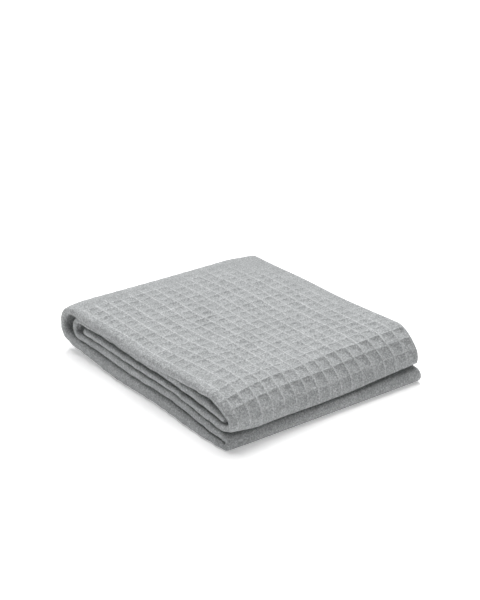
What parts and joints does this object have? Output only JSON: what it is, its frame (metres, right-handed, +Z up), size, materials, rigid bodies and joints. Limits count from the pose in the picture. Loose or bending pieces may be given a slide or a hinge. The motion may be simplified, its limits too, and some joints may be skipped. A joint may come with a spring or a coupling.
{
  "type": "folded waffle weave blanket",
  "caption": "Cotton waffle weave blanket folded into a low rectangular stack, with a rounded front fold over a thinner one and nested folds at the back.",
  "frame": {"origin": "centre of the footprint on the surface that the stack rests on", "axes": "+Z up; -Y towards the front fold, +Y towards the nested folds; -X towards the doubled side folds, +X towards the hems"},
  "size_m": [0.3526, 0.4368, 0.0776],
  "materials": {
    "cotton": "matt, cool light grey waffle weave"
  },
  "bodies": {
    "root": {"blanket": "cotton"}
  },
  "joints": []
}
